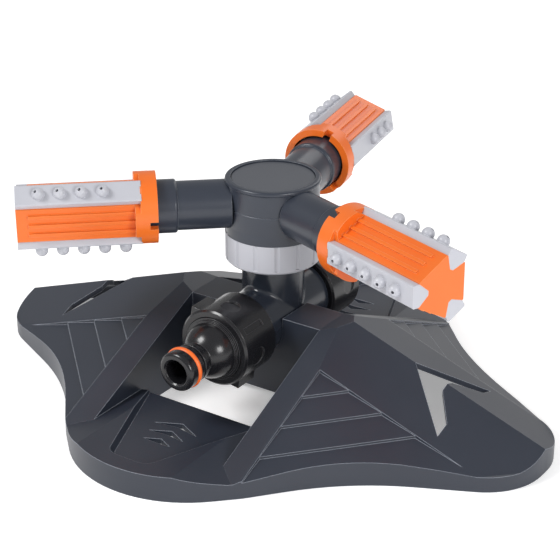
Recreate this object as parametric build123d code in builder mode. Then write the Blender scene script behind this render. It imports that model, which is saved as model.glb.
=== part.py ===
from build123d import *
from math import atan2, tan
import os

# Three-arm rotary lawn sprinkler on a four-lobed sled base.
# +Z is up, the origin is on the ground under the rotor axis, +X runs along the base's
# ridge and -Y towards the hose inlet.  All sizes are in millimetres.

os.makedirs("parts", exist_ok=True)

# ---------------------------------------------------------------- driving dimensions

# The base lies a little towards the inlet from the rotor axis
base_middle_y = -4.4

# Base: plan outline about its own middle, as the corners of one quadrant before rounding
lobe_x = 125.4           # end of a ridge lobe
lobe_shoulder_y = 18.7
waist_x = 68.0
waist_y = 46.2
foot_x = 42.0
foot_y = 77.5
prow_y = 118.2           # point of the front and back lobes before rounding
lobe_round = 26.0
waist_round = 110.0
foot_round = 34.0
prow_round = 48.0

# Base: top surface
base_wall = 2.2
bridge_top = 37.2
bridge_half_depth = 8.8
channel_half_width = 30.7
saddle_rise = 0.28       # rise per millimetre from the bridge to the lobe's crest
band_rise = 0.1          # the same along the bands either side of the bridge
ridge_z = 43.7           # height that the ridge line would reach at the channel's edge
ridge_fall = 0.35       # drop per millimetre along the ridge
roof_fall = 0.36          # drop per millimetre away from the ridge
side_fall = 0.447        # drop per millimetre of the bands and panels
panel_x = 41.0           # inner corner of the stepped panels
panel_y = 24.9
panel_z = 31.1
panel_frame = 0.8        # width of the frame line left around a panel
shingle_pitch = 14.0     # step lines along the panel's inner edge
shingle_lean = 0.955     # how the step lines lean across the panel
shingle_deep = 1.4
shingle_shallow = 0.4
rim_height = 6.4
rim_lip = 1.6

# Base: front and back decks
deck_rear_y = 44.3
deck_top = 10.4
deck_flat_half_width = 22.0
deck_side_fall = 0.25
tray_depth = 2.0
tray_rear_half_width = 29.0
tray_front_half_width = 9.0
tray_front_y = 91.9
tray_round = 6.0
vent_apex_y = 57.4
vent_pitch = 6.8
vent_half_width = 10.0
vent_shrink = 1.9
vent_sweep = 4.9         # how far a vent's ends lie behind its apex
vent_width = 3.2

# Base: swallow-tail slots in the ridge lobes
slot_apex_x = 69.0
slot_end_x = 91.0
slot_end_y = 21.0
tongue_tip_x = 83.0
tongue_tip_y = 3.6
tongue_corner_x = 91.2
tongue_corner_y = 14.4

# Tee pipe that carries the rotor
tee_axis_z = 32.2
tee_bore_r = 8.6
tee_half_length = 20.5
spigot_r = 12.0
spigot_end = 34.7
stem_r = 12.5
pipe_over_stem = 0.8     # how much wider the pipe is than its stem
tee_r = stem_r + pipe_over_stem
stem_bore_r = 8.0
stem_top = 60.0
stem_root = 2.0          # fillet where the stem meets the pipe
cradle_wall = 2.5
seat_gap = 0.05
screw_r = 1.3
screw_clearance = 0.1
screw_room = 0.4         # between a screw's head and the bridge's wall
screw_head_r = 2.2
screw_head_height = 2.0
screw_grip = 2.8         # depth of the screws in the pipe's wall
bridge_foot_gap = 3.0    # the bridge's walls end this far above the ground
screw_slot_length = 3.6
screw_slot_width = 0.8

# Hand nuts on the pipe's two ends
cap_r = 15.8
cap_rear = 20.8
cap_front = 41.2
thread_gap = 0.08
cap_chamber_r = 14.0
cap_lip_r = 13.0
cap_lip = 2.0
end_wall = 3.0
recess_r = 3.8           # round finger recesses
recess_depth = 0.65
recess_place = 12.1      # from the nut's rear edge
wing_angle = 126.0       # direction of one wing, seen from the inlet
wing_start = 8.9
wing_end = 19.3
wing_foot_r = 14.8
wing_tip_r = 18.3
grip_start = 6.0         # long shallow grip slots
grip_end = 17.0
grip_width = 2.6
grip_depth = 0.5
washer_thickness = 2.0
washer_r = 11.9
washer_bore_r = 7.5
filter_r = 10.2
filter_thickness = 0.9
filter_holes = 10
filter_hole_ring = 6.0
filter_hole_r = 1.2

# Hose nipple
nipple_flange_r = 13.7
nipple_bore_r = 4.85
nipple_nose_r = 7.9
nipple_tip = 65.6
bell_r = 12.8
bell_step = 0.9
bell_front = 41.6
shoulder_r = 11.2
neck_start = 51.3
neck_r = 6.4
catch_start = 53.4
catch_r = 7.6
catch_end = 56.0
collar_start = 57.2
ring_start = 59.0
ring_end = 61.4
nose_round = 1.6
o_ring_section_r = 1.2
face_gap = 0.05          # between flat faces that slide on each other

# Spindle and rotor
spindle_plug_r = 9.4
spindle_plug_z = 50.0
thrust_width = 1.9       # of the thrust washers beyond the stem
spindle_flange_r = stem_r + thrust_width
spindle_flange = 2.5
spindle_r = 8.0
spindle_top = 76.5
spindle_bore_r = 5.2
running_gap = 0.06
seal_z = 70.0
seal_section_r = 1.0
thrust_washer = 1.0
spindle_seal_r = 6.0
washer_fit = 0.15
nut_clearance = 0.3

nut_bottom = 56.1
nut_top = 68.0
nut_overhang = 0.7
flange_room = 2.0        # round the spindle's flange inside the nut's skirt
nut_skirt_r = spindle_flange_r + flange_room
nut_lip = 2.4
nut_grooves = 14
nut_groove_r = 1.3
nut_groove_depth = 0.45
nut_groove_foot = 1.4
hub_wall = 2.0
hub_r = nut_skirt_r + hub_wall
nut_r = hub_r + nut_overhang
rim_overhang = 0.6
hub_rim_r = hub_r + rim_overhang
hub_rim = 1.4
hub_over_arm = 1.05      # height of the hub's top above the arms
hub_cavity_r = 12.8
hub_floor = 74.5
rim_round = 0.9
seam_width = 0.5
seam_depth = 0.25
lid_margin = 1.7
lid_r = hub_r - lid_margin
lid_recess = 0.6
lid_thickness = 2.4

# Arms and nozzle heads
arm_axis_z = 79.75
arm_angles = {"far": 101.0, "left": 221.0, "near": 341.0}
arm_r = 9.7
arm_plug_r = 7.0
arm_plug_x = 13.4
arm_seat_depth = 1.4     # how far the arms are let into the hub
arm_seat_x = hub_r - arm_seat_depth
arm_shoulder_x = 38.0
sleeve_step = 0.9
sleeve_r = arm_r + sleeve_step
sleeve_end = 51.6
pivot_r = 5.3
pivot_end = 64.5
pivot_bore_r = 3.3
arm_bore_r = 5.5
arm_seal_x = 55.6
arm_seal_section_r = 0.6
clip_x = 60.6
clip_thickness = 1.2
clip_r = 6.0
clip_bore_r = 4.4
clip_split = 2.5
clip_room = 1.6
arm_seal_width = 1.4
arm_seal_r = 4.13

head_start = 45.8
head_tip = 100.0
collar_wall = 2.8
collar_room = 0.8        # round the arm's sleeve
collar_bore_r = sleeve_r + collar_room
collar_r = collar_bore_r + collar_wall
collar_end = 52.4
panel_start = 54.5
panel_distance = 9.9     # flat panels from the head's axis
strip_root_distance = 11.2
strip_face_distance = 14.1
strip_width = 8.9
strip_start = 52.0
strip_v_distance = 7.0
strip_v_width = 1.6
rib_width = 1.4
rib_pitch = 4.0
rib_height = 0.8
rib_tip_margin = 4.6
collar_notch = 3.2
chamber_r = 5.0
chamber_start = 56.0
chamber_end = 96.0
port_width = 3.0
strip_chamfer = 0.4
nozzle_r = 2.45
nozzle_rise = 3.2
nozzle_hole_r = 0.65
nozzle_pitch = 8.15
nozzle_tip_margin = 9.0
nozzle_tilt = 30.0       # outermost jet, leaning towards the tip
nozzle_tilt_step = 5.0

# Strips around each head: how many nozzles each has, and its direction in degrees
# from the head's right-hand side, seen from the tip
head_strips = {
    "far": {3: 170.0, 4: 50.0, 5: -70.0},
    "left": {3: 170.0, 4: 50.0, 5: -70.0},
    "near": {5: 180.0, 4: 60.0, 3: -60.0},
}

cradle_r = tee_r + seat_gap + cradle_wall
seat_r = tee_r + seat_gap
hub_top = arm_axis_z + arm_r + hub_over_arm
screw_y = bridge_half_depth - base_wall - screw_room - screw_head_r
quadrants = ((1, 1), (1, -1), (-1, 1), (-1, -1))


def write(piece, label):
    """Label a finished piece and write it to its own file."""
    piece.label = label
    export_step(piece, "parts/" + label + ".step")


# ---------------------------------------------------------------- base

def rounded_outline():
    """Plan outline of the base: four lobes with rounded corners."""
    half = (
        (lobe_x, -lobe_shoulder_y), (lobe_x, lobe_shoulder_y), (waist_x, waist_y),
        (foot_x, foot_y), (0, prow_y), (-foot_x, foot_y), (-waist_x, waist_y),
    )
    corners = half + tuple((-x, -y) for x, y in half)
    with BuildSketch() as outline:
        with BuildLine():
            Polyline(*corners, close=True)
        make_face()
        lobe_turn = atan2(lobe_x - waist_x, waist_y - lobe_shoulder_y)
        lobe_limit = 0.98 * lobe_shoulder_y / tan(lobe_turn / 2)
        for place, radius in ((lobe_x, min(lobe_round, lobe_limit)), (waist_x, waist_round),
                              (foot_x, foot_round), (0, prow_round)):
            fillet([v for v in outline.vertices() if abs(abs(v.X) - place) < 0.01], radius)
    return outline.sketch


def channelled_plan(inset):
    """Outline less the two channels either side of the bridge, drawn in by inset."""
    channel_depth = prow_y - bridge_half_depth
    middle_y = bridge_half_depth + channel_depth / 2
    with BuildSketch() as plan:
        add(rounded_outline())
        with Locations((0, middle_y), (0, -middle_y)):
            Rectangle(2 * channel_half_width, channel_depth, mode=Mode.SUBTRACT)
        if inset:
            offset(amount=-inset, mode=Mode.REPLACE)
    return plan.sketch


def deck_plan(side, inset):
    """Plan of the deck in the front (-1) or back (+1) lobe, drawn in by inset."""
    deck_depth = prow_y - deck_rear_y
    with BuildSketch() as plan:
        add(rounded_outline())
        with Locations((0, side * (deck_rear_y + deck_depth / 2))):
            Rectangle(2 * panel_x, deck_depth, mode=Mode.INTERSECT)
        if inset:
            offset(amount=-inset, mode=Mode.REPLACE)
    return plan.sketch


def panel_plane(side_x, side_y):
    """Plane of one quadrant's stepped panel."""
    return Plane(origin=(side_x * panel_x, side_y * panel_y, panel_z),
                 z_dir=(side_x * ridge_fall, side_y * side_fall, 1))


def lobe_planes():
    """Planes that bound the top of the +X lobe: saddle, bands, roofs and panels."""
    planes = [Plane(origin=(channel_half_width, 0, bridge_top), z_dir=(-saddle_rise, 0, 1))]
    for side_y in (1, -1):
        planes.append(Plane(origin=(channel_half_width, side_y * bridge_half_depth, bridge_top),
                            z_dir=(-band_rise, side_y * side_fall, 1)))
        planes.append(Plane(origin=(channel_half_width, 0, ridge_z),
                            z_dir=(ridge_fall, side_y * roof_fall, 1)))
        planes.append(panel_plane(1, side_y))
    return planes


def sled_form(inset, drop):
    """Two lobes and the bridge between them, drawn in at the sides and lowered on top."""
    with BuildPart() as form:
        add(channelled_plan(inset))
        extrude(amount=ridge_z)
        split(bisect_by=Plane.YZ, keep=Keep.TOP)
        for plane in lobe_planes():
            split(bisect_by=plane.offset(-drop), keep=Keep.BOTTOM)
        mirror(about=Plane.YZ)
        with BuildSketch():
            Rectangle(2 * channel_half_width, 2 * (bridge_half_depth - inset))
        extrude(amount=bridge_top - drop)
    return form.part


def deck_form(side, inset, height):
    """Solid of one deck up to a height, with its sides falling to the feet."""
    with BuildPart() as form:
        add(deck_plan(side, inset))
        extrude(amount=height)
        for side_x in (1, -1):
            split(bisect_by=Plane(origin=(side_x * deck_flat_half_width, 0, height),
                                  z_dir=(side_x * deck_side_fall, 0, 1)), keep=Keep.BOTTOM)
    return form.part


def shingle_cuts():
    """What is cut from one panel to leave four overlapping steps."""
    reach = lobe_x
    cuts = []
    with BuildPart() as region:
        with BuildSketch():
            with Locations((panel_x + panel_frame, -panel_y - panel_frame)):
                Rectangle(reach, reach, align=(Align.MIN, Align.MAX))
        extrude(amount=bridge_top)
    for step in range(4):
        near = step * shingle_pitch
        far = near + (shingle_pitch if step < 3 else reach)
        rise = (shingle_deep - shingle_shallow) / shingle_pitch
        surface = Plane(
            origin=(panel_x, -panel_y - near, panel_z - side_fall * near - shingle_deep),
            z_dir=(ridge_fall - rise * shingle_lean, -(side_fall - rise), 1))
        lean = Vector(-shingle_lean, 1, 0)
        with BuildPart() as cut:
            add(region.part)
            split(bisect_by=surface, keep=Keep.TOP)
            split(bisect_by=Plane(origin=(panel_x, -panel_y - near, 0), z_dir=lean),
                  keep=Keep.BOTTOM)
            split(bisect_by=Plane(origin=(panel_x, -panel_y - far, 0), z_dir=lean),
                  keep=Keep.TOP)
        cuts.append(cut.part)
    return cuts


def mirrored(solid, side_x, side_y):
    """Copy of a solid made for the +X, -Y quadrant, set in another quadrant."""
    if side_x < 0:
        solid = solid.mirror(Plane.YZ)
    if side_y > 0:
        solid = solid.mirror(Plane.XZ)
    return solid


with BuildPart() as base:
    # shell of the sled and its two decks
    add(sled_form(0, 0))
    for side in (1, -1):
        add(deck_form(side, 0, deck_top))
    add(sled_form(base_wall, base_wall), mode=Mode.SUBTRACT)
    for side in (1, -1):
        add(deck_form(side, base_wall, deck_top - tray_depth - base_wall), mode=Mode.SUBTRACT)
    # upright rim that the base stands on
    with BuildSketch():
        add(rounded_outline())
        offset(amount=-rim_lip, mode=Mode.SUBTRACT)
        with Locations((0, prow_y), (0, -prow_y)):
            Rectangle(2 * channel_half_width, 2 * (prow_y - foot_y), mode=Mode.SUBTRACT)
    extrude(amount=rim_height)
    # stepped panels
    shingles = shingle_cuts()
    for side_x, side_y in quadrants:
        for cut in shingles:
            add(mirrored(cut, side_x, side_y), mode=Mode.SUBTRACT)
    # trays in the decks, each with three chevron vents
    for side in (1, -1):
        with BuildSketch(Plane.XY.offset(deck_top)):
            with BuildLine():
                Polyline((-tray_rear_half_width, side * (deck_rear_y - 3)),
                         (tray_rear_half_width, side * (deck_rear_y - 3)),
                         (tray_front_half_width, side * tray_front_y),
                         (-tray_front_half_width, side * tray_front_y), close=True)
            tray = make_face()
            fillet([v for v in tray.vertices() if abs(v.Y) > tray_front_y - 1], tray_round)
        extrude(amount=-tray_depth, taper=40, mode=Mode.SUBTRACT)
        for number in range(3):
            apex = vent_apex_y + number * vent_pitch
            reach = vent_half_width - number * vent_shrink
            tail = apex + vent_sweep * reach / vent_half_width
            with BuildSketch():
                with BuildLine():
                    Polyline((0, side * apex), (reach, side * tail),
                             (0, side * (apex + vent_width)), (-reach, side * tail), close=True)
                make_face()
            extrude(amount=deck_top, mode=Mode.SUBTRACT)
    # swallow-tail slots in the ridge lobes
    for side_x in (1, -1):
        with BuildSketch():
            with BuildLine():
                Polyline((side_x * slot_apex_x, 0), (side_x * slot_end_x, slot_end_y),
                         (side_x * tongue_corner_x, tongue_corner_y),
                         (side_x * tongue_tip_x, tongue_tip_y),
                         (side_x * tongue_tip_x, -tongue_tip_y),
                         (side_x * tongue_corner_x, -tongue_corner_y),
                         (side_x * slot_end_x, -slot_end_y), close=True)
            make_face()
        extrude(amount=bridge_top, mode=Mode.SUBTRACT)
    # cradle for the tee pipe, open above
    with BuildSketch(Plane.XZ.offset(-bridge_half_depth)):
        with Locations((0, tee_axis_z)):
            Circle(cradle_r)
            Rectangle(2 * cradle_r, bridge_top - tee_axis_z, align=(Align.CENTER, Align.MIN))
        with Locations((0, tee_axis_z - cradle_r)):
            Rectangle(2 * cradle_r, bridge_top - tee_axis_z + cradle_r,
                      align=(Align.CENTER, Align.MIN), mode=Mode.INTERSECT)
    extrude(amount=2 * bridge_half_depth)
    with BuildSketch(Plane.XZ.offset(-2 * bridge_half_depth)):
        with Locations((0, tee_axis_z)):
            Circle(seat_r)
            Rectangle(2 * seat_r, 2 * seat_r, align=(Align.CENTER, Align.MIN))
    extrude(amount=4 * bridge_half_depth, mode=Mode.SUBTRACT)
    # screw holes through the cradle, and the gap under the bridge's walls
    with BuildSketch():
        with Locations((0, screw_y), (0, -screw_y)):
            Circle(screw_r + screw_clearance)
    extrude(amount=tee_axis_z, mode=Mode.SUBTRACT)
    with BuildSketch():
        Rectangle(2 * (channel_half_width - base_wall), 2.5 * bridge_half_depth)
    extrude(amount=bridge_foot_gap, mode=Mode.SUBTRACT)
write(base.part.moved(Location((0, base_middle_y, 0))), "base")


# ---------------------------------------------------------------- tee pipe and its screws

with BuildPart() as tee_body:
    # through pipe with a threaded spigot at each end, and the stem standing on it
    with Locations((0, 0, tee_axis_z)):
        Cylinder(tee_r, 2 * tee_half_length, rotation=(90, 0, 0))
    with BuildSketch(Plane.XY.offset(tee_axis_z)):
        Circle(stem_r)
    extrude(amount=stem_top - tee_axis_z)
    joint_edges = [e for e in tee_body.edges() if e.geom_type == GeomType.BSPLINE
                   or e.geom_type == GeomType.OTHER]
    fillet(joint_edges, stem_root)
    with Locations((0, 0, tee_axis_z)):
        Cylinder(spigot_r, 2 * spigot_end, rotation=(90, 0, 0))
        Cylinder(tee_bore_r, 2 * spigot_end, rotation=(90, 0, 0), mode=Mode.SUBTRACT)
    with BuildSketch(Plane.XY.offset(tee_axis_z)):
        Circle(stem_bore_r)
    extrude(amount=stem_top - tee_axis_z, mode=Mode.SUBTRACT)
    with BuildSketch(Plane.XY.offset(spindle_plug_z)):
        Circle(spindle_plug_r)
    extrude(amount=stem_top - spindle_plug_z, mode=Mode.SUBTRACT)
    # seat for the filter disc in the inlet's mouth
    with BuildSketch(Plane.XZ.offset(spigot_end)):
        with Locations((0, tee_axis_z)):
            Circle(filter_r)
    extrude(amount=-filter_thickness, mode=Mode.SUBTRACT)
    # blind screw holes in the pipe's underside
    with BuildSketch(Plane.XY.offset(tee_axis_z - tee_r - seat_gap)):
        with Locations((0, base_middle_y + screw_y), (0, base_middle_y - screw_y)):
            Circle(screw_r)
    extrude(amount=screw_grip + seat_gap, mode=Mode.SUBTRACT)
write(tee_body.part, "tee_body")

with BuildPart() as tee_screws:
    for side in (1, -1):
        with BuildSketch(Plane.XY.offset(tee_axis_z - cradle_r - screw_head_height)):
            with Locations((0, base_middle_y + side * screw_y)):
                Circle(screw_head_r)
        extrude(amount=screw_head_height)
        with BuildSketch(Plane.XY.offset(tee_axis_z - cradle_r)):
            with Locations((0, base_middle_y + side * screw_y)):
                Circle(screw_r)
        extrude(amount=cradle_wall + seat_gap + screw_grip)
        with BuildSketch(Plane.XY.offset(tee_axis_z - cradle_r - screw_head_height)):
            with Locations((0, base_middle_y + side * screw_y)):
                Rectangle(screw_slot_length, screw_slot_width)
                Rectangle(screw_slot_width, screw_slot_length)
        extrude(amount=screw_slot_width, mode=Mode.SUBTRACT)
write(tee_screws.part, "tee_screws")


# ---------------------------------------------------------------- inlet: filter, washer, nipple

with BuildPart() as inlet_filter:
    with BuildSketch(Plane.XZ.offset(spigot_end - filter_thickness)):
        with Locations((0, tee_axis_z)):
            Circle(filter_r)
            with PolarLocations(filter_hole_ring, filter_holes):
                Circle(filter_hole_r, mode=Mode.SUBTRACT)
            Circle(filter_hole_r, mode=Mode.SUBTRACT)
    extrude(amount=filter_thickness)
write(inlet_filter.part, "inlet_filter")

with BuildPart() as inlet_washer:
    with BuildSketch(Plane.XZ.offset(spigot_end)):
        with Locations((0, tee_axis_z)):
            Circle(washer_r)
            Circle(washer_bore_r, mode=Mode.SUBTRACT)
    extrude(amount=washer_thickness)
write(inlet_washer.part, "inlet_washer")

inlet_plane = Plane(origin=(0, 0, tee_axis_z), x_dir=(0, -1, 0), z_dir=(1, 0, 0))
nipple_back = spigot_end + washer_thickness
lip_back = cap_front - cap_lip
groove_r = nipple_nose_r - o_ring_section_r * 1.6
with BuildPart() as inlet_nipple:
    # half section, turned about the inlet axis: flange, bell, shoulder, neck, catch, nose
    with BuildSketch(inlet_plane):
        with BuildLine():
            Polyline((nipple_back, nipple_bore_r), (nipple_back, nipple_flange_r),
                     (lip_back - face_gap, nipple_flange_r),
                     (lip_back - face_gap, bell_r), (bell_front, bell_r),
                     (bell_front, bell_r - bell_step), (bell_front + 0.9, bell_r - bell_step),
                     (bell_front + 0.9, shoulder_r))
            ThreePointArc((bell_front + 0.9, shoulder_r), (bell_front + 5.0, shoulder_r - 0.9),
                          (neck_start, neck_r))
            Polyline((neck_start, neck_r), (catch_start, neck_r), (catch_start + 0.8, catch_r),
                     (catch_end, catch_r), (catch_end + 0.5, neck_r + 0.3),
                     (collar_start, neck_r + 0.3), (collar_start, nipple_nose_r - 0.2),
                     (ring_start, nipple_nose_r - 0.2), (ring_start, groove_r),
                     (ring_end, groove_r), (ring_end, nipple_nose_r),
                     (nipple_tip - nose_round, nipple_nose_r))
            ThreePointArc((nipple_tip - nose_round, nipple_nose_r),
                          (nipple_tip - 0.293 * nose_round, nipple_nose_r - 0.293 * nose_round),
                          (nipple_tip, nipple_nose_r - nose_round))
            Polyline((nipple_tip, nipple_nose_r - nose_round), (nipple_tip, nipple_bore_r + 0.6),
                     (nipple_tip - 0.6, nipple_bore_r), (nipple_back, nipple_bore_r))
        make_face()
    revolve(axis=Axis((0, 0, tee_axis_z), (0, 1, 0)))
write(inlet_nipple.part, "inlet_nipple")

with BuildPart() as nipple_o_ring:
    with BuildSketch(inlet_plane):
        with Locations(((ring_start + ring_end) / 2, groove_r + o_ring_section_r)):
            Ellipse((ring_end - ring_start) / 2, o_ring_section_r)
    revolve(axis=Axis((0, 0, tee_axis_z), (0, 1, 0)))
write(nipple_o_ring.part, "nipple_o_ring")


# ---------------------------------------------------------------- hand nut and end cap

def hand_nut(closed):
    """Hand nut in the inlet's place; a closed one is the blanking cap."""
    pipe_axis = Axis((0, 0, tee_axis_z), (0, 1, 0))
    with BuildPart() as nut:
        with BuildSketch(inlet_plane):
            with BuildLine():
                Polyline((cap_rear, spigot_r + thread_gap), (cap_rear, cap_r - 0.8),
                         (cap_rear + 0.8, cap_r), (cap_front - 0.8, cap_r),
                         (cap_front, cap_r - 0.8), (cap_front, cap_lip_r),
                         (lip_back, cap_lip_r), (lip_back, cap_chamber_r),
                         (spigot_end + 0.2, cap_chamber_r),
                         (spigot_end + 0.2, spigot_r + thread_gap), close=True)
            make_face()
        revolve(axis=pipe_axis)
        if closed:
            with BuildSketch(Plane.XZ.offset(cap_front - end_wall)):
                with Locations((0, tee_axis_z)):
                    Circle(cap_r - 0.8)
            extrude(amount=end_wall)
            with BuildSketch(Plane.XZ.offset(spigot_end + washer_thickness + face_gap)):
                with Locations((0, tee_axis_z)):
                    Circle(cap_chamber_r)
            extrude(amount=cap_front - end_wall - spigot_end - washer_thickness - face_gap)
        # two square-edged wings for the fingers
        for turn in (wing_angle, wing_angle + 180):
            with BuildSketch(Plane.XZ.offset(cap_rear + wing_start)):
                with Locations((0, tee_axis_z)):
                    with PolarLocations(wing_foot_r, 1, start_angle=turn):
                        Triangle(a=2 * (wing_tip_r - wing_foot_r), B=45, C=45, rotation=-90,
                                 align=(Align.CENTER, Align.MIN))
            extrude(amount=wing_end - wing_start)
        # round finger recesses either side of each wing, and grip slots between them
        for number in range(4):
            outward = Vector(1, 0, 0).rotate(Axis.Y, -(wing_angle + 45 + 90 * number))
            middle = Vector(0, -(cap_rear + recess_place), tee_axis_z)
            with BuildSketch(Plane(origin=middle + outward * (cap_r - recess_depth),
                                   x_dir=(0, 1, 0), z_dir=outward)):
                Circle(recess_r)
            extrude(amount=2 * recess_depth, mode=Mode.SUBTRACT)
        for number in range(2):
            outward = Vector(1, 0, 0).rotate(Axis.Y, -(wing_angle + 90 + 180 * number))
            middle = Vector(0, -(cap_rear + (grip_start + grip_end) / 2), tee_axis_z)
            with BuildSketch(Plane(origin=middle + outward * (cap_r - grip_depth),
                                   x_dir=(0, 1, 0), z_dir=outward)):
                Rectangle(grip_end - grip_start, grip_width)
            extrude(amount=2 * grip_depth, mode=Mode.SUBTRACT)
    return nut.part


write(hand_nut(False), "inlet_nut")
write(hand_nut(True).rotate(Axis.Z, 180), "end_cap")
write(inlet_washer.part.rotate(Axis.Z, 180), "end_cap_washer")


# ---------------------------------------------------------------- spindle and its seals

with BuildPart() as spindle:
    with BuildSketch(Plane.XZ):
        with BuildLine():
            Polyline((spindle_bore_r, spindle_plug_z), (spindle_plug_r, spindle_plug_z),
                     (spindle_plug_r, stem_top), (spindle_flange_r, stem_top),
                     (spindle_flange_r, stem_top + spindle_flange),
                     (spindle_r, stem_top + spindle_flange),
                     (spindle_r, seal_z - seal_section_r - 0.1),
                     (spindle_seal_r, seal_z - seal_section_r - 0.1),
                     (spindle_seal_r, seal_z + seal_section_r + 0.1),
                     (spindle_r, seal_z + seal_section_r + 0.1),
                     (spindle_r, spindle_top), (spindle_bore_r, spindle_top), close=True)
        make_face()
    revolve(axis=Axis.Z)
write(spindle.part, "spindle")

with BuildPart() as spindle_o_ring:
    with BuildSketch(Plane.XZ):
        with Locations((spindle_r - seal_section_r, seal_z)):
            Circle(seal_section_r)
    revolve(axis=Axis.Z)
write(spindle_o_ring.part, "spindle_o_ring")

with BuildPart() as lower_thrust_washer:
    with BuildSketch(Plane.XY.offset(stem_top - thrust_washer)):
        Circle(spindle_flange_r)
        Circle(stem_r + washer_fit, mode=Mode.SUBTRACT)
    extrude(amount=thrust_washer)
write(lower_thrust_washer.part, "lower_thrust_washer")

with BuildPart() as upper_thrust_washer:
    with BuildSketch(Plane.XY.offset(stem_top + spindle_flange)):
        Circle(spindle_flange_r)
        Circle(spindle_r + washer_fit, mode=Mode.SUBTRACT)
    extrude(amount=thrust_washer)
write(upper_thrust_washer.part, "upper_thrust_washer")


# ---------------------------------------------------------------- rotor: nut, hub and lid

with BuildPart() as retaining_nut:
    with BuildSketch(Plane.XZ):
        with BuildLine():
            Polyline((stem_r + nut_clearance, nut_bottom), (nut_r - 0.8, nut_bottom),
                     (nut_r, nut_bottom + 0.8), (nut_r, nut_top), (nut_skirt_r, nut_top),
                     (nut_skirt_r, nut_bottom + nut_lip),
                     (stem_r + nut_clearance, nut_bottom + nut_lip), close=True)
        make_face()
    revolve(axis=Axis.Z)
    with BuildSketch(Plane.XY.offset(nut_bottom + nut_groove_foot)):
        with PolarLocations(nut_r + nut_groove_r - nut_groove_depth, nut_grooves):
            Circle(nut_groove_r)
    extrude(amount=nut_top - nut_bottom, mode=Mode.SUBTRACT)
write(retaining_nut.part, "retaining_nut")

hub_foot = stem_top + spindle_flange + thrust_washer + face_gap
lid_seat = hub_top - lid_recess - lid_thickness
with BuildPart() as hub_body:
    # half section, turned about the rotor axis
    with BuildSketch(Plane.XZ):
        with BuildLine():
            Polyline((spindle_r + running_gap, hub_foot), (nut_skirt_r, hub_foot),
                     (nut_skirt_r, nut_top), (hub_r + 0.5, nut_top),
                     (hub_r, nut_top + 4), (hub_r, arm_axis_z - seam_width / 2),
                     (hub_r - seam_depth, arm_axis_z), (hub_r, arm_axis_z + seam_width / 2),
                     (hub_r, hub_top - hub_rim - 0.6), (hub_rim_r, hub_top - hub_rim),
                     (hub_rim_r, hub_top - rim_round))
            ThreePointArc((hub_rim_r, hub_top - rim_round),
                          (hub_rim_r - 0.293 * rim_round, hub_top - 0.293 * rim_round),
                          (hub_rim_r - rim_round, hub_top))
            Polyline((hub_rim_r - rim_round, hub_top), (lid_r, hub_top), (lid_r, lid_seat),
                     (hub_cavity_r, lid_seat), (hub_cavity_r, hub_floor),
                     (spindle_r + running_gap, hub_floor), (spindle_r + running_gap, hub_foot))
        make_face()
    revolve(axis=Axis.Z)
    # sockets of the three arms
    for angle in arm_angles.values():
        socket = Plane(origin=(0, 0, arm_axis_z), z_dir=Vector(1, 0, 0).rotate(Axis.Z, angle))
        with BuildSketch(socket.offset(arm_seat_x)):
            Circle(arm_r)
        extrude(amount=hub_rim_r, mode=Mode.SUBTRACT)
        with BuildSketch(socket.offset(hub_cavity_r / 2)):
            Circle(arm_plug_r)
        extrude(amount=hub_rim_r, mode=Mode.SUBTRACT)
write(hub_body.part, "hub_body")

with BuildPart() as hub_lid:
    with BuildSketch(Plane.XY.offset(lid_seat)):
        Circle(lid_r)
    extrude(amount=lid_thickness)
    chamfer(hub_lid.edges().group_by(Axis.Z)[-1], 0.3)
write(hub_lid.part, "hub_lid")


# ---------------------------------------------------------------- arms and nozzle heads
# Each is built along +X at the origin, then raised to the arm axis and turned to its arm.

arm_section = Plane.XZ

with BuildPart() as arm_tube:
    with BuildSketch(arm_section):
        with BuildLine():
            Polyline((arm_plug_x, arm_bore_r), (arm_plug_x, arm_plug_r), (arm_seat_x, arm_plug_r),
                     (arm_seat_x, arm_r), (arm_shoulder_x, arm_r))
            ThreePointArc((arm_shoulder_x, arm_r),
                          (arm_shoulder_x + 0.3, arm_r + 0.7 * (sleeve_r - arm_r)),
                          (arm_shoulder_x + 1.2, sleeve_r))
            Polyline((arm_shoulder_x + 1.2, sleeve_r), (sleeve_end, sleeve_r),
                     (sleeve_end, pivot_r), (arm_seal_x - arm_seal_width / 2, pivot_r),
                     (arm_seal_x - arm_seal_width / 2, arm_seal_r),
                     (arm_seal_x + arm_seal_width / 2, arm_seal_r),
                     (arm_seal_x + arm_seal_width / 2, pivot_r),
                     (clip_x - clip_thickness / 2, pivot_r),
                     (clip_x - clip_thickness / 2, clip_bore_r),
                     (clip_x + clip_thickness / 2, clip_bore_r),
                     (clip_x + clip_thickness / 2, pivot_r),
                     (pivot_end, pivot_r), (pivot_end, pivot_bore_r),
                     (sleeve_end - 3, pivot_bore_r), (sleeve_end - 5, arm_bore_r),
                     (arm_plug_x, arm_bore_r))
        make_face()
    revolve(axis=Axis.X)

with BuildPart() as arm_o_ring:
    with BuildSketch(arm_section):
        with Locations((arm_seal_x, arm_seal_r + arm_seal_section_r)):
            Circle(arm_seal_section_r)
    revolve(axis=Axis.X)

with BuildPart() as arm_clip:
    # split spring ring that keeps the head on its arm
    with BuildSketch(Plane.YZ.offset(clip_x - clip_thickness / 2)):
        Circle(clip_r)
        Circle(clip_bore_r, mode=Mode.SUBTRACT)
        with Locations((0, -clip_r)):
            Rectangle(clip_split, clip_r, mode=Mode.SUBTRACT)
    extrude(amount=clip_thickness)


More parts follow.
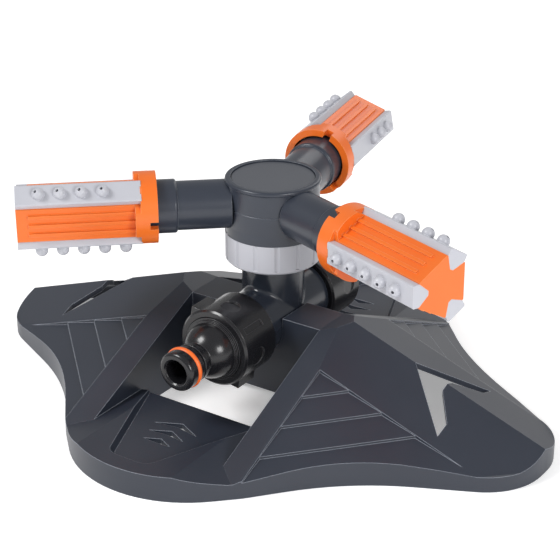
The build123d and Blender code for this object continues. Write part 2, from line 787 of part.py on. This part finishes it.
def strip_profile():
    """Section of a nozzle strip's body on the head's YZ plane, facing +Z."""
    with BuildSketch(Plane.YZ) as profile:
        with BuildLine():
            Polyline((-strip_width / 2, strip_face_distance), (strip_width / 2, strip_face_distance),
                     (strip_width / 2, strip_root_distance), (strip_v_width / 2, strip_v_distance),
                     (-strip_v_width / 2, strip_v_distance),
                     (-strip_width / 2, strip_root_distance), close=True)
        make_face()
    return profile.sketch


with BuildPart() as head_shell:
    # turned collar, then the six-sided body cut from a round bar
    with BuildSketch(Plane.YZ.offset(head_start)):
        Circle(collar_r)
    extrude(amount=head_tip - head_start)
    for number in range(3):
        outward = Vector(0, 0, -1).rotate(Axis.X, number * 120)
        flat = Plane(origin=outward * panel_distance, x_dir=(1, 0, 0), z_dir=outward)
        corner = Plane(origin=-outward * strip_root_distance, x_dir=(1, 0, 0), z_dir=-outward)
        with BuildSketch(flat):
            with Locations((panel_start, 0)):
                Rectangle(head_tip, 4 * collar_r, align=(Align.MIN, Align.CENTER))
        extrude(amount=collar_r, mode=Mode.SUBTRACT)
        with BuildSketch(corner):
            with Locations((collar_end, 0)):
                Rectangle(head_tip, 4 * collar_r, align=(Align.MIN, Align.CENTER))
        extrude(amount=collar_r, mode=Mode.SUBTRACT)
        with BuildSketch(flat):
            with Locations((panel_start, 0)):
                with GridLocations(1, rib_pitch, 1, 3):
                    Rectangle(head_tip - rib_tip_margin - panel_start, rib_width,
                              align=(Align.MIN, Align.CENTER))
        extrude(amount=rib_height)
        with BuildSketch(flat):
            with Locations((head_start, 0)):
                Rectangle(collar_notch, collar_notch, align=(Align.MIN, Align.CENTER))
        extrude(amount=collar_r, mode=Mode.SUBTRACT)
    # seats of the three nozzle strips
    for number in range(3):
        add(extrude(strip_profile().rotate(Axis.X, number * 120), amount=head_tip,
                    mode=Mode.PRIVATE).moved(Pos(strip_start, 0, 0)), mode=Mode.SUBTRACT)
    # bores: collar over the sleeve, bearing, clip groove and water chamber
    for start, end, radius in (
            (head_start, collar_end - 0.2, collar_bore_r),
            (head_start, clip_x - clip_room / 2, pivot_r + running_gap),
            (clip_x - clip_room / 2, clip_x + clip_room / 2, clip_r + 0.2),
            (clip_x - clip_room / 2, pivot_end + 0.5, pivot_r + running_gap),
            (clip_x, chamber_end, chamber_r)):
        with BuildSketch(Plane.YZ.offset(start)):
            Circle(radius)
        extrude(amount=end - start, mode=Mode.SUBTRACT)
    # water ports behind each strip's nozzle row
    for number in range(3):
        port = Plane(origin=(0, 0, 0), x_dir=(1, 0, 0), z_dir=Vector(0, 0, 1).rotate(
            Axis.X, number * 120))
        with BuildSketch(port):
            with Locations(((chamber_start + chamber_end) / 2, 0)):
                SlotOverall(chamber_end - chamber_start, port_width)
        extrude(amount=strip_v_distance + 0.5, mode=Mode.SUBTRACT)


def nozzle_strip(count):
    """Nozzle strip facing +Z with its nozzles counted back from the tip."""
    with BuildPart() as strip:
        add(extrude(strip_profile(), amount=head_tip - strip_start,
                    mode=Mode.PRIVATE).moved(Pos(strip_start, 0, 0)))
        chamfer(strip.edges().filter_by(Axis.X).group_by(Axis.Z)[-1], strip_chamfer)
        for number in range(count):
            nozzle_x = head_tip - nozzle_tip_margin - number * nozzle_pitch
            centre = strip_face_distance + nozzle_rise - nozzle_r
            with Locations((nozzle_x, 0, centre)):
                Sphere(nozzle_r)
        for number in range(count):
            nozzle_x = head_tip - nozzle_tip_margin - number * nozzle_pitch
            tilt = nozzle_tilt - number * nozzle_tilt_step
            centre = strip_face_distance + nozzle_rise - nozzle_r
            with Locations(Location((nozzle_x, 0, centre), (0, tilt, 0))):
                Cylinder(nozzle_hole_r, 4 * nozzle_r + 2, mode=Mode.SUBTRACT)
    return strip.part


for arm, angle in arm_angles.items():
    place = Location((0, 0, arm_axis_z), (0, 0, angle))
    roll = head_strips[arm][4] - 90
    write(arm_tube.part.moved(place), "arm_tube_" + arm)
    write(arm_o_ring.part.moved(place), "arm_o_ring_" + arm)
    write(arm_clip.part.moved(place), "arm_clip_" + arm)
    write(head_shell.part.rotate(Axis.X, roll).moved(place), "head_" + arm)
    for count, direction in head_strips[arm].items():
        strip = nozzle_strip(count).rotate(Axis.X, direction - 90)
        write(strip.moved(place), "nozzle_strip_" + arm + "_" + str(count))
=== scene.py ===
import bpy
import numpy as np
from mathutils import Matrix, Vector

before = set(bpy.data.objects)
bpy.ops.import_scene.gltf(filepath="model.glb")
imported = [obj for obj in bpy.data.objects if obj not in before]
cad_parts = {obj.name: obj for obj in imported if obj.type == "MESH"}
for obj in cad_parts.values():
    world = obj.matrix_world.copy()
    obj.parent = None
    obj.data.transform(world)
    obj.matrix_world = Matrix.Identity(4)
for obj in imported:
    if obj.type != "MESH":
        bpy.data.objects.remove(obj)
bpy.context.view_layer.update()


# ------------------------------------------------------------------ sled base
# One shell of slate-grey polypropylene, injection moulded in a spark-eroded tool.
# The tool leaves a fine even grain, which spreads every highlight into a soft satin.

def linear(hex_colour):
    """Linear RGBA from an sRGB hex value: c/12.92 below 0.04045, else ((c+0.055)/1.055)^2.4."""
    parts = np.array([int(hex_colour[i:i + 2], 16) for i in (1, 3, 5)]) / 255
    values = np.where(parts <= 0.04045, parts / 12.92, ((parts + 0.055) / 1.055) ** 2.4)
    return (*values.tolist(), 1.0)


def add_node(tree, kind, settings=None, **links):
    """Add one node, set its properties and sockets, and link the named sockets' sources."""
    made = tree.nodes.new(kind)
    for key, value in (settings or {}).items():
        if key in made.inputs:
            made.inputs[key].default_value = value
        else:
            setattr(made, key, value)
    for key, source in links.items():
        tree.links.new(source, made.inputs[key.replace("_", " ")])
    return made


def moulded_plastic(name, shade, deep_shade, roughness, grain_mm, grain_depth, edge_mm=0.35,
                    edge_highlight_colour=None):
    """Moulded plastic: a slow drift between two shades, a tool grain and rounded edges.

    The drift is noise 40 mm long; the grain is noise at the tool's texture size, as bump over
    a normal that is rounded off within edge_mm of every edge.  The cosine of the angle between
    that normal and the true one is 1 away from the edges, and between 0.98 and 0.85 the colour
    goes over to the lighter edge colour given: a painted highlight along every edge, concave
    ones too, standing in for the light that a moulding's rounded edges catch.
    """
    drift_mm = 40
    drift_share = (0.35, 0.65)
    wear = 0.05
    material = bpy.data.materials.new(name)
    material.use_nodes = True
    tree = material.node_tree
    surface = tree.nodes["Principled BSDF"]
    place = add_node(tree, "ShaderNodeTexCoord").outputs["Object"]
    drift = add_node(tree, "ShaderNodeTexNoise",
                     {"Scale": 1000 / drift_mm, "Detail": 3.0, "Roughness": 0.55}, Vector=place)
    ramp = add_node(tree, "ShaderNodeValToRGB", Fac=drift.outputs["Fac"])
    for stop, share, tone in zip(ramp.color_ramp.elements, drift_share, (deep_shade, shade)):
        stop.position = share
        stop.color = linear(tone)
    grain = add_node(tree, "ShaderNodeTexNoise",
                     {"Scale": 1000 / grain_mm, "Detail": 2.0}, Vector=place)
    worn = add_node(tree, "ShaderNodeMapRange",
                    {"To Min": roughness - wear, "To Max": roughness + wear},
                    Value=drift.outputs["Fac"])
    tree.links.new(worn.outputs["Result"], surface.inputs["Roughness"])
    edges = add_node(tree, "ShaderNodeBevel", {"Radius": edge_mm / 1000, "samples": 6})
    flat = add_node(tree, "ShaderNodeNewGeometry").outputs["Normal"]
    lean = add_node(tree, "ShaderNodeVectorMath", {"operation": "DOT_PRODUCT"})
    tree.links.new(edges.outputs["Normal"], lean.inputs[0])
    tree.links.new(flat, lean.inputs[1])
    # Painted highlight: this mask is 0 away from the edges and 1 at every edge, convex or
    # concave, and there it mixes in the lighter edge colour in place of the light that a
    # rounded edge catches.
    painted_highlight_mask = add_node(tree, "ShaderNodeMapRange",
                      {"From Min": 0.98, "From Max": 0.85, "To Min": 0.0, "To Max": 1.0},
                      Value=lean.outputs["Value"])
    # sockets 6 and 7 are the mix's two colours, and output 2 is the mixed one
    colour = add_node(tree, "ShaderNodeMix", {"data_type": "RGBA"})
    tree.links.new(painted_highlight_mask.outputs["Result"], colour.inputs["Factor"])
    tree.links.new(ramp.outputs["Color"], colour.inputs[6])
    colour.inputs[7].default_value = linear(edge_highlight_colour or shade)
    tree.links.new(colour.outputs[2], surface.inputs["Base Color"])
    relief = add_node(tree, "ShaderNodeBump",
                      {"Strength": grain_depth, "Distance": grain_mm / 4000},
                      Height=grain.outputs["Fac"], Normal=edges.outputs["Normal"])
    tree.links.new(relief.outputs["Normal"], surface.inputs["Normal"])
    return material


def dress(material, *names):
    """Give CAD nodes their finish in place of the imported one."""
    for name in names:
        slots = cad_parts[name].data.materials
        slots.clear()
        slots.append(material)


# The lighter edge colour given to this moulding and the later ones is a painted highlight along
# their edges.
sled_plastic = moulded_plastic("polypropylene, moulded, slate grey, eroded grain",
                               "#2d323d", "#292e39", roughness=0.4, grain_mm=0.55,
                               grain_depth=0.12, edge_mm=0.4, edge_highlight_colour="#a3a9b4")
dress(sled_plastic, "base")


# ------------------------------------------------------------------ tee pipe and stem
# The pipe and its stem are one ABS moulding from a polished tool, so they are glossier
# than the sled that they are screwed to.

pipe_plastic = moulded_plastic("ABS, moulded, polished slate", "#2b303a", "#272c35",
                               roughness=0.2, grain_mm=1.6, grain_depth=0.04, edge_mm=0.4,
                               edge_highlight_colour="#6c737d")
dress(pipe_plastic, "tee_body")

# The screws under the pipe and the spring clips on the arms are bright zinc-plated steel.
# Its drawn surface is finer than the grain given here, which is as coarse as it can show.
arms = ("far", "left", "near")
drawn_grain_mm = 1.1
screw_steel = bpy.data.materials.new("steel, zinc plated, drawn")
screw_steel.use_nodes = True
steel_tree = screw_steel.node_tree
steel_surface = steel_tree.nodes["Principled BSDF"]
steel_surface.inputs["Metallic"].default_value = 1.0
steel_surface.inputs["Base Color"].default_value = linear("#b4b6b8")
steel_place = add_node(steel_tree, "ShaderNodeTexCoord").outputs["Object"]
steel_noise = add_node(steel_tree, "ShaderNodeTexNoise", {"Scale": 1000 / drawn_grain_mm},
                       Vector=steel_place)
steel_worn = add_node(steel_tree, "ShaderNodeMapRange", {"To Min": 0.22, "To Max": 0.4},
                      Value=steel_noise.outputs["Fac"])
steel_tree.links.new(steel_worn.outputs["Result"], steel_surface.inputs["Roughness"])
dress(screw_steel, "tee_screws", *("arm_clip_" + arm for arm in arms))


# ------------------------------------------------------------------ inlet and end cap
# Nipple, hand nut and blanking cap are glass-filled nylon, moulded black in a polished
# tool, so they show the lights as small sharp highlights.

black_nylon = moulded_plastic("nylon, moulded, polished black", "#1c1c1f", "#17171a",
                              roughness=0.22, grain_mm=1.2, grain_depth=0.05, edge_mm=0.4,
                              edge_highlight_colour="#4a4a4d")
dress(black_nylon, "inlet_nipple", "inlet_nut", "end_cap")

filter_plastic = moulded_plastic("polypropylene, moulded, filter disc", "#3a3e45", "#33373d",
                                 roughness=0.5, grain_mm=0.4, grain_depth=0.2)
dress(filter_plastic, "inlet_filter")

# O-rings and washers are moulded nitrile; the one on the nose is coloured orange.
seal_rubber = moulded_plastic("nitrile rubber, moulded black", "#151515", "#101010",
                              roughness=0.6, grain_mm=0.3, grain_depth=0.15, edge_mm=0.1)
dress(seal_rubber, "inlet_washer", "end_cap_washer", "spindle_o_ring",
      *("arm_o_ring_" + arm for arm in arms))
orange_rubber = moulded_plastic("nitrile rubber, moulded orange", "#f7722b", "#f06a24",
                                roughness=0.38, grain_mm=0.4, grain_depth=0.06, edge_mm=0.1)
dress(orange_rubber, "nipple_o_ring")


# ------------------------------------------------------------------ spindle and rotor
# The spindle and its thrust washers are turned acetal, white and slippery, hidden in
# the hub.  Hub, lid and arm tubes are satin slate ABS; the retaining nut under the hub
# and the nozzle strips are the same plastic in pale grey.

acetal = moulded_plastic("acetal, turned, natural white", "#e4e3de", "#dcdbd5",
                         roughness=0.35, grain_mm=0.5, grain_depth=0.08)
dress(acetal, "spindle", "upper_thrust_washer", "lower_thrust_washer")

rotor_plastic = moulded_plastic("ABS, moulded, satin slate", "#343944", "#30353f",
                                roughness=0.3, grain_mm=0.8, grain_depth=0.06, edge_mm=0.4,
                                edge_highlight_colour="#71767f")
dress(rotor_plastic, "hub_body", *("arm_tube_" + arm for arm in arms))
lid_plastic = moulded_plastic("ABS, moulded, satin slate, fine grain", "#4d5057", "#494c53",
                              roughness=0.4, grain_mm=0.45, grain_depth=0.14, edge_mm=0.3)
dress(lid_plastic, "hub_lid")
pale_plastic = moulded_plastic("ABS, moulded, pale grey", "#bdbec5", "#b7b8c0",
                               roughness=0.34, grain_mm=1.0, grain_depth=0.05, edge_mm=0.35,
                               edge_highlight_colour="#d2d3d9")
dress(pale_plastic, "retaining_nut",
      *(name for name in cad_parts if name.startswith("nozzle_strip_")))


# ------------------------------------------------------------------ nozzle heads
# Three identical shells of orange ABS, moulded semi-gloss, with three ribbed flats each.
# Their pale nozzle strips are let in between the flats.

head_plastic = moulded_plastic("ABS, moulded, signal orange", "#ee7222", "#e86c1e",
                               roughness=0.33, grain_mm=0.9, grain_depth=0.05, edge_mm=0.35,
                               edge_highlight_colour="#fb9c58")
dress(head_plastic, *("head_" + arm for arm in arms))


# ------------------------------------------------------------------ floor, light, camera
# A pale light table, whose own glow keeps its shade soft, a white surround and three
# large soft lights.

floor_half = 4.0
floor_corners = [(-floor_half, -floor_half, 0.0), (floor_half, -floor_half, 0.0),
                 (floor_half, floor_half, 0.0), (-floor_half, floor_half, 0.0)]
floor_mesh = bpy.data.meshes.new("floor")
floor_mesh.from_pydata(floor_corners, [], [(0, 1, 2, 3)])
floor = bpy.data.objects.new("floor", floor_mesh)
bpy.context.scene.collection.objects.link(floor)
light_table = bpy.data.materials.new("acrylic, opal, lit from below")
light_table.use_nodes = True
table_surface = light_table.node_tree.nodes["Principled BSDF"]
table_surface.inputs["Base Color"].default_value = linear("#ffffff")
table_surface.inputs["Roughness"].default_value = 0.9
table_surface.inputs["Emission Color"].default_value = linear("#ffffff")
table_surface.inputs["Emission Strength"].default_value = 0.35
floor_mesh.materials.append(light_table)

world = bpy.data.worlds.new("studio")
world.use_nodes = True
surround = world.node_tree.nodes["Background"]
surround.inputs["Color"].default_value = linear("#ffffff")
surround.inputs["Strength"].default_value = 0.42
bpy.context.scene.world = world

aim = Vector((0.0059, -0.0039, 0.0485))


def soft_light(name, place, size, power):
    """Square area light that faces the object."""
    lamp = bpy.data.lights.new(name, "AREA")
    lamp.size = size
    lamp.energy = power
    holder = bpy.data.objects.new(name, lamp)
    holder.location = place
    holder.rotation_euler = (aim - Vector(place)).to_track_quat("-Z", "Y").to_euler()
    bpy.context.scene.collection.objects.link(holder)


soft_light("key_softbox", (-0.55, -0.75, 1.0), 0.45, 10.0)
soft_light("side_softbox", (1.1, -0.45, 0.5), 0.4, 7.0)
soft_light("back_softbox", (-0.15, 1.1, 0.75), 0.7, 2.2)

camera_data = bpy.data.cameras.new("camera")
camera_data.lens = 111.62
camera_data.sensor_width = 36.0
camera = bpy.data.objects.new("camera", camera_data)
camera.location = (0.3556, -0.5218, 0.3410)
camera.rotation_euler = (aim - camera.location).to_track_quat("-Z", "Y").to_euler()
bpy.context.scene.collection.objects.link(camera)
bpy.context.scene.camera = camera
bpy.context.scene.view_settings.view_transform = "Standard"
